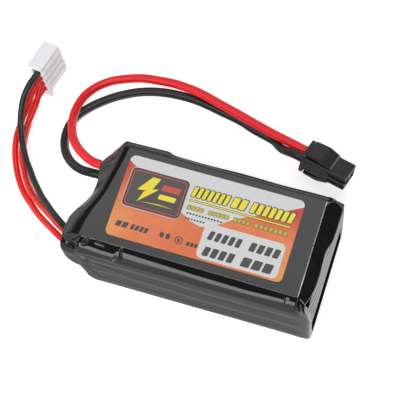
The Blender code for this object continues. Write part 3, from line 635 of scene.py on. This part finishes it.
def build_wrap():
    grid = wrap_grid()
    x, y, z = grid[..., 0], grid[..., 1], grid[..., 2]
    upward = smoothstep((grid_normals(grid)[..., 2] - 0.05) / 0.2)
    rings = sum(CURL_STEPS)
    upward[: rings - CREASE_RING] = 0.0
    grid[..., 2] = z + upward * (softmax(board_height(x, y), z, 0.06) - z)
    normals = grid_normals(grid)
    x, y, z = grid[..., 0], grid[..., 1], grid[..., 2]
    push = np.zeros(x.shape)
    # The cells under the film show as ribs along the front, and more faintly along the back.
    side = smoothstep((np.abs(normals[..., 1]) - 0.6) / 0.3) * smoothstep((29.5 - x) / 3.0)
    wander = 0.3 * np.sin(0.21 * x + 1.0) + 0.2 * np.sin(0.47 * x)
    ribs = np.cos((z + wander - 4.2) * 2 * math.pi / CELL_PITCH)
    streaks = 0.018 * np.sin(1.9 * z + 0.8 * np.sin(0.16 * x))
    streaks += 0.012 * np.sin(3.1 * z + 1.1 * np.sin(0.11 * x + 2))
    push += side * np.where(y < 0.0, 1.0, 0.4) * (0.06 * ribs + streaks)
    high = smoothstep((z - 15.0) / 3.0)
    off_board = high * smoothstep(np.maximum(board_front(x) - 0.05 - y, plate_edge(y) - x) / 0.3)
    off_board = np.maximum(off_board, high * smoothstep((x - 27.4) / 0.4))
    for folds, across, mask in ((FOLDS, y, off_board), (SIDE_FOLDS, z, smoothstep((-y - 13.6) / 0.8))):
        for start, stop, width, depth in folds:
            distance, share = segment_distance(x, across, start, stop)
            fade = smoothstep((share + 0.15) / 0.3) * smoothstep((1.15 - share) / 0.3)
            push -= mask * depth * bell(distance, 0.0, width) * (0.35 + 0.65 * fade)
    grid = grid + normals * push[..., None]
    height, width = x.shape
    bm = bmesh.new()
    verts = [bm.verts.new(point) for point in (grid.reshape(-1, 3) * MM).tolist()]
    for i in range(height - 1):
        for j in range(width):
            k = (j + 1) % width
            a, b = i * width, (i + 1) * width
            bm.faces.new((verts[a + j], verts[a + k], verts[b + k], verts[b + j]))
    bmesh.ops.recalc_face_normals(bm, faces=bm.faces)
    mesh = bpy.data.meshes.new("shrink_film")
    bm.to_mesh(mesh)
    bm.free()
    mesh.shade_smooth()
    mesh.materials.append(film_material())
    wrap = bpy.data.objects.new("shrink_film", mesh)
    bpy.context.scene.collection.objects.link(wrap)
    film = wrap.modifiers.new("film", "SOLIDIFY")
    film.thickness = FILM_THICKNESS * MM
    film.offset = -1.0
    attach(wrap, "pack")
    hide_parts("shrink_wrap")
    return wrap


build_wrap()


PAD_HALF = 12.2


def build_end_pad():
    """The foam pad at the plain end, which fills the sleeve's opening below the flap. Its face stands out
    under the flap and carries a near-black finish with no specular, painted shade for the shadowed slit there.
    """
    face = ((30.8, 1.3), (31.05, 1.8), (31.1, 5.0), (31.0, 11.2))
    outline = ((29.2, 1.3), *face, (29.95, 12.0), (29.95, 20.2), (29.2, 20.2))
    bm = bmesh.new()
    sides = [[bm.verts.new((x * MM, y * MM, z * MM)) for x, z in outline] for y in (-PAD_HALF, PAD_HALF)]
    bm.faces.new(sides[0])
    bm.faces.new(sides[1][::-1])
    for i in range(len(outline)):
        j = (i + 1) % len(outline)
        bm.faces.new((sides[0][j], sides[0][i], sides[1][i], sides[1][j]))
    bmesh.ops.recalc_face_normals(bm, faces=bm.faces)
    mesh = bpy.data.meshes.new("end_pad_painted_slit_shade")
    bm.to_mesh(mesh)
    bm.free()
    # Painted shade: the foam is black, but this near-black, non-reflecting finish stands in for the shadow in
    # the slit below the flap.
    dark, light = (0.002, 0.002, 0.002), (0.006, 0.006, 0.006)
    foam = dull("end_foam_painted_shade", dark, light, 0.95, 1400, 0.00006, Specular_IOR_Level=0.0)
    mesh.materials.append(foam)
    pad = bpy.data.objects.new("end_pad_painted_slit_shade", mesh)
    bpy.context.scene.collection.objects.link(pad)
    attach(pad, "pack")
    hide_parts("end_pad")
    return pad


build_end_pad()


# ---- the label ----------------------------------------------------------------------
LAYER = 0.008  # thickness of one printed layer, in millimetres
LABEL_BASE = 22.99


def ink(name, colour, roughness=0.32):
    shader = Shader(name, colour, roughness)
    shade = tuple(0.9 * value for value in colour)
    shader.set("Base Color", shader.mix(shader.noise(700, 3), shade, colour))
    shader.bump(shader.noise(1800, 2), 0.000006)
    return shader.material


def label_ground():
    """The sticker's orange ground, running from red-orange corners to amber patches."""
    shader = Shader("label_orange", (0.84, 0.2, 0.06), 0.32)
    where = shader.node("ShaderNodeSeparateXYZ", {0: shader.where()})
    along, across = where.outputs[0], where.outputs[1]
    cloud = shader.noise(120, 4, (1, 1.6, 1), 0.6)
    colour = shader.mix(shader.ramp(cloud, 0.35, 0.65), (0.7, 0.14, 0.035), (0.74, 0.19, 0.06))
    low = shader.ramp(across, 0.004, -0.008)
    left = shader.ramp(along, -0.012, -0.021)
    right = shader.ramp(along, 0.016, 0.0225)
    amber = shader.math("MULTIPLY", low, shader.math("MAXIMUM", left, right))
    colour = shader.mix(shader.math("MULTIPLY", amber, 0.75), colour, (0.76, 0.33, 0.08))
    high = shader.ramp(across, 0.001, 0.0085)
    ends = shader.math("MAXIMUM", shader.ramp(along, -0.016, -0.021), shader.ramp(along, 0.004, 0.02))
    colour = shader.mix(shader.math("MULTIPLY", high, ends), colour, (0.55, 0.032, 0.012))
    shader.set("Base Color", colour)
    shader.bump(shader.noise(1800, 2), 0.000006)
    return shader.material


def rounded_box(x0, x1, y0, y1, radius, slant=0.0, steps=6):
    """A rounded rectangle, leaning by slant for each unit of height."""
    radius = min(radius, 0.5 * (x1 - x0), 0.5 * (y1 - y0))
    points = []
    for cx, cy, start in (
        (x1 - radius, y1 - radius, 0.0),
        (x0 + radius, y1 - radius, 0.5),
        (x0 + radius, y0 + radius, 1.0),
        (x1 - radius, y0 + radius, 1.5),
    ):
        for step in range(steps + 1):
            angle = math.pi * (start + 0.5 * step / steps)
            px = cx + radius * math.cos(angle)
            py = cy + radius * math.sin(angle)
            points.append((px + slant * (py - y0), py))
    return points


class Print:
    """Thin layers of ink on the sticker, all one piece."""

    def __init__(self):
        self.bm = bmesh.new()
        self.materials = []

    def layer(self, outline, level, material, bottom=None):
        if material not in self.materials:
            self.materials.append(material)
        low = LABEL_BASE - 0.005 if bottom is None else bottom
        high = LABEL_BASE + level * LAYER
        top = [self.bm.verts.new((px * MM, py * MM, high * MM)) for px, py in outline]
        base = [self.bm.verts.new((px * MM, py * MM, low * MM)) for px, py in outline]
        faces = [self.bm.faces.new(top), self.bm.faces.new(base[::-1])]
        for i in range(len(outline)):
            j = (i + 1) % len(outline)
            faces.append(self.bm.faces.new((top[j], top[i], base[i], base[j])))
        for face in faces:
            face.material_index = self.materials.index(material)

    def blocks(
        self, x0, x1, y0, y1, count, level, material, slant=0.25, gap=0.22, radius=0.12, rim=0.0, under=None
    ):
        """A row of equal slanted blocks, which stands for a word."""
        pitch = (x1 - x0 + gap) / count
        for i in range(count):
            left = x0 + i * pitch
            right = left + pitch - gap
            if under is not None:
                outer = rounded_box(left - rim, right + rim, y0 - rim, y1 + rim, radius + rim, slant)
                self.layer(outer, level, under)
            self.layer(rounded_box(left, right, y0, y1, radius, slant), level + (under is not None), material)

    def finish(self):
        bmesh.ops.triangulate(self.bm, faces=self.bm.faces)
        bmesh.ops.recalc_face_normals(self.bm, faces=self.bm.faces)
        mesh = bpy.data.meshes.new("printed_label")
        self.bm.to_mesh(mesh)
        self.bm.free()
        for material in self.materials:
            mesh.materials.append(material)
        label = bpy.data.objects.new("printed_label", mesh)
        bpy.context.scene.collection.objects.link(label)
        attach(label, "pack")
        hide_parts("label")
        return label


def build_label():
    art = Print()
    pale = ink("label_pale", (0.67, 0.67, 0.675))
    black = ink("label_black", (0.03, 0.028, 0.028))
    yellow = ink("label_yellow", (0.86, 0.72, 0.02))
    olive = ink("label_olive", (0.5, 0.45, 0.03))
    badge = ink("badge_brown", (0.062, 0.045, 0.043))
    red = ink("badge_red", (0.6, 0.06, 0.045))
    rim = ink("badge_rim", (0.5, 0.5, 0.52))
    text = ink("label_text", (0.045, 0.042, 0.045))
    art.layer(rounded_box(-21.0, 22.5, -9.5, 11.6, 1.4), 0, label_ground(), bottom=22.88)
    swoosh = [
        (-20.95, 10.0), (-19.3, 9.0), (-15.5, 7.0), (-10.1, 3.8), (-4.9, 0.6), (-2.4, -0.8),
        (0.1, -1.5), (2.2, -1.1), (4.2, 0.1), (6.9, 2.1), (9.5, 3.6), (12.2, 4.8),
        (15.2, 6.1), (18.4, 7.8), (22.45, 10.0),
    ]
    corner = [(px, py) for px, py in rounded_box(-20.95, 22.45, -9.45, 11.55, 1.35) if py > 10.05]
    art.layer(swoosh + corner, 1, pale)
    # Badge
    art.layer(rounded_box(-19.75, -5.1, -1.55, 8.75, 1.2), 2, rim)
    art.layer(rounded_box(-19.55, -5.2, -1.35, 8.65, 1.1), 3, black)
    art.layer(rounded_box(-19.1, -5.65, -0.9, 8.2, 0.9), 4, red)
    art.layer(rounded_box(-18.9, -5.85, -0.7, 8.0, 0.8), 5, badge)
    art.layer([(-14.2, 7.3), (-17.0, 3.3), (-13.6, 3.75), (-12.2, 7.3)], 6, yellow)
    art.layer([(-15.2, 3.3), (-16.2, 0.3), (-11.9, 4.6), (-13.0, 4.4)], 6.2, yellow)
    art.layer(rounded_box(-11.4, -7.0, 4.6, 6.1, 0.3, 0.2), 6, red)
    art.layer(rounded_box(-11.6, -7.4, 2.3, 3.6, 0.3, 0.2), 6, yellow)
    art.layer([(-15.5, 0.55), (-11.0, 1.0), (-7.2, 0.75), (-11.0, 0.72)], 6, yellow)
    # Title, underline and the small row beneath
    for x0, x1, count in ((-4.2, 4.6, 7), (5.6, 9.0, 2), (10.3, 20.6, 7)):
        art.blocks(x0, x1, 5.2, 7.9, count, 2, yellow, 0.2, 0.45, 0.25, 0.22, black)
    art.layer(rounded_box(-4.2, 21.0, 3.95, 4.55, 0.2), 2, black)
    art.layer(rounded_box(-4.0, 20.8, 4.08, 4.42, 0.15), 3, yellow)
    for x0, x1, count in ((-4.1, -0.2, 4), (1.1, 6.0, 5), (7.3, 11.2, 4), (12.5, 20.4, 7)):
        art.blocks(x0, x1, 1.95, 2.95, count, 2, olive, 0.1, 0.3, 0.1, 0.1, text)
    for x0, x1, y0 in ((-3.9, 4.9, 0.75), (-3.9, 1.0, -0.55)):
        art.blocks(x0, x1, y0, y0 + 0.4, 12 if x1 > 3 else 7, 2, text, 0.1, 0.25, 0.05)
    # Lower rows
    art.blocks(-19.3, -16.4, -6.8, -5.4, 2, 1, text, 0.25, 0.3, 0.2)
    art.blocks(-15.6, -11.4, -6.8, -5.4, 4, 1, text, 0.25, 0.3, 0.2)
    art.blocks(-8.3, -5.7, -6.7, -5.3, 2, 1, text, 0.0, 0.5, 0.5)
    art.layer(rounded_box(-4.5, -2.5, -7.2, -5.2, 1.0), 1, text)
    art.layer(rounded_box(-4.25, -2.75, -6.95, -5.45, 0.75), 2, label_ground())
    art.layer(rounded_box(-3.85, -3.15, -6.6, -5.8, 0.2), 3, text)
    art.blocks(-1.6, 1.1, -6.9, -5.9, 3, 1, text, 0.1, 0.2, 0.1)
    # Value box
    art.layer(rounded_box(1.4, 21.15, -9.0, -0.1, 1.3), 3, pale)
    for x0, x1, y0, y1, count in (
        (2.7, 10.6, -4.1, -1.8, 5),
        (12.8, 20.0, -4.1, -1.8, 4),
        (2.6, 10.0, -8.2, -5.8, 4),
        (12.0, 19.4, -8.2, -5.8, 3),
    ):
        art.blocks(x0, x1, y0, y1, count, 4, text, 0.2, 0.5, 0.3)
    return art.finish()


build_label()


# ---- materials of the CAD pieces that stay -------------------------------------------
def give(nodes, material):
    for name in nodes:
        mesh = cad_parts[name].data
        mesh.materials.clear()
        mesh.materials.append(material)


def soften(names, width):
    """Moulded edges carry a small radius."""
    for name in names:
        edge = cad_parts[name].modifiers.new("edge", "BEVEL")
        edge.width = width
        edge.segments = 2
        edge.limit_method = "ANGLE"
        edge.angle_limit = math.radians(40)
        edge.use_clamp_overlap = True


def dress_frame():
    nylon = moulded("black_nylon", (0.007, 0.007, 0.0074), (0.012, 0.012, 0.0126), 0.38)
    white = moulded("white_nylon", (0.83, 0.83, 0.85), (0.89, 0.89, 0.91), 0.34)
    nickel = metal("nickel_strip", (0.5, 0.48, 0.44), (0.66, 0.64, 0.6), 0.3, (1, 0.1, 1))
    pouch = metal("pouch_laminate", (0.56, 0.57, 0.59), (0.68, 0.69, 0.71), 0.34)
    solder = metal("solder", (0.5, 0.5, 0.49), (0.7, 0.7, 0.68), 0.28)
    tin = metal("tinned_brass", (0.62, 0.58, 0.5), (0.74, 0.71, 0.64), 0.28, (1, 0.2, 1))
    foam = dull("closed_cell_foam", (0.02, 0.02, 0.022), (0.05, 0.05, 0.053), 0.9, 1400, 0.00006)
    plate = dull("stiffener_card", (0.03, 0.03, 0.032), (0.06, 0.06, 0.062), 0.7)
    board = dull("solder_mask", (0.015, 0.1, 0.045), (0.03, 0.16, 0.07), 0.4, 1200, 0.000008)
    paper = dull("insulating_paper", (0.12, 0.14, 0.1), (0.2, 0.23, 0.16), 0.75, 700, 0.00003, (0.2, 1, 1))
    seal = dull("tab_sealant", (0.6, 0.52, 0.3), (0.75, 0.68, 0.45), 0.4)
    names = list(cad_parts)
    give([n for n in names if n.startswith("cell_")], pouch)
    give([n for n in names if n.startswith("tab_") and n != "tab_board"], nickel)
    give([n for n in names if n.startswith("film_")], seal)
    give([n for n in names if n.startswith("solder_")], solder)
    give([n for n in names if "contact" in n], tin)
    give([n for n in names if n.startswith("foam_tape")], foam)
    give(["top_plate", "bottom_plate"], plate)
    give(["tab_board"], board)
    give(["terminal_cover"], paper)
    give(["discharge_plug", "latch_upper", "latch_lower"], nylon)
    give(["balance_plug"], white)
    soften(["discharge_plug"], 0.2 * MM)
    soften(["latch_upper", "latch_lower"], 0.1 * MM)
    soften(["balance_plug"], 0.15 * MM)


dress_frame()


# ---- studio -------------------------------------------------------------------------
def area_light(name, place, target, size_x, size_y, radiance, along=None, gloss_only=False):
    """A rectangular softbox that faces target, with its long side along a given direction."""
    data = bpy.data.lights.new(name, "AREA")
    data.shape = "RECTANGLE"
    data.size = size_x
    data.size_y = size_y
    data.energy = radiance * math.pi * size_x * size_y
    light = bpy.data.objects.new(name, data)
    bpy.context.scene.collection.objects.link(light)
    away = (Vector(place) - Vector(target)).normalized()
    side = Vector(along or (1, 0, 0))
    up = away.cross(side).normalized()
    turn = Matrix((up.cross(away), up, away)).transposed().to_4x4()
    light.matrix_world = Matrix.Translation(place) @ turn
    light.visible_diffuse = not gloss_only


def make_studio():
    bm = bmesh.new()
    bmesh.ops.create_grid(bm, x_segments=8, y_segments=8, size=3.0)
    mesh = bpy.data.meshes.new("studio_floor")
    bm.to_mesh(mesh)
    bm.free()
    floor = bpy.data.objects.new("studio_floor", mesh)
    bpy.context.scene.collection.objects.link(floor)
    floor.location.z = -0.00002
    shader = Shader("floor_paper", (0.86, 0.86, 0.87), 0.8)
    shader.set("Base Color", shader.mix(shader.noise(30, 3), (0.85, 0.85, 0.86), (0.87, 0.87, 0.88)))
    shader.set("Emission Color", (1, 1, 1, 1))
    shader.set("Emission Strength", 0.65)
    mesh.materials.append(shader.material)
    floor.visible_glossy = False
    world = bpy.data.worlds.new("studio")
    world.use_nodes = True
    tree = world.node_tree
    ground = tree.nodes["Background"]
    coordinates = tree.nodes.new("ShaderNodeTexCoord")
    split = tree.nodes.new("ShaderNodeSeparateXYZ")
    tree.links.new(coordinates.outputs["Generated"], split.inputs[0])

    def grade(axis, start, end, first, last):
        made = tree.nodes.new("ShaderNodeMapRange")
        made.inputs["From Min"].default_value = start
        made.inputs["From Max"].default_value = end
        made.inputs["To Min"].default_value = first
        made.inputs["To Max"].default_value = last
        tree.links.new(split.outputs[axis], made.inputs["Value"])
        return made.outputs[0]

    def combine(operation, first, second):
        made = tree.nodes.new("ShaderNodeMath")
        made.operation = operation
        tree.links.new(first, made.inputs[0])
        tree.links.new(second, made.inputs[1])
        return made.outputs[0]

    below = combine("MULTIPLY", grade(2, -0.95, -0.2, 0.42, 1.0), grade(0, -0.1, 0.35, 1.0, 3.2))
    lower = combine("MULTIPLY", below, grade(2, -0.06, 0.03, 1.0, 0.0))
    upper = grade(2, -0.06, 0.03, 0.0, 0.1)
    tree.links.new(combine("ADD", lower, upper), ground.inputs["Strength"])
    ground.inputs["Color"].default_value = (1, 1, 1, 1)
    bpy.context.scene.world = world
    centre = (0, 0, 0.01)
    area_light("back_softbox", (-0.2, 0.52, 0.98), centre, 1.0, 0.62, 2.0)
    area_light("front_band", (-0.25, -0.62, 1.05), centre, 1.5, 0.42, 5.0)
    area_light("front_fill", (-0.1, -1.1, 0.62), (-0.1, 0, 0.62), 2.2, 1.22, 1.2)
    area_light("rim_strip", (0.40, 0.137, 1.0), centre, 0.72, 0.11, 24.0, (0.38, 0.92, 0), True)
    area_light("back_fill", (-0.2, 1.1, 0.42), centre, 1.6, 0.75, 0.6, None, True)
    area_light("left_softbox", (-1.15, 0.4, 0.33), centre, 0.9, 0.6, 1.2, (0.33, 0.94, 0))
    bpy.context.scene.view_settings.view_transform = "Standard"


make_studio()
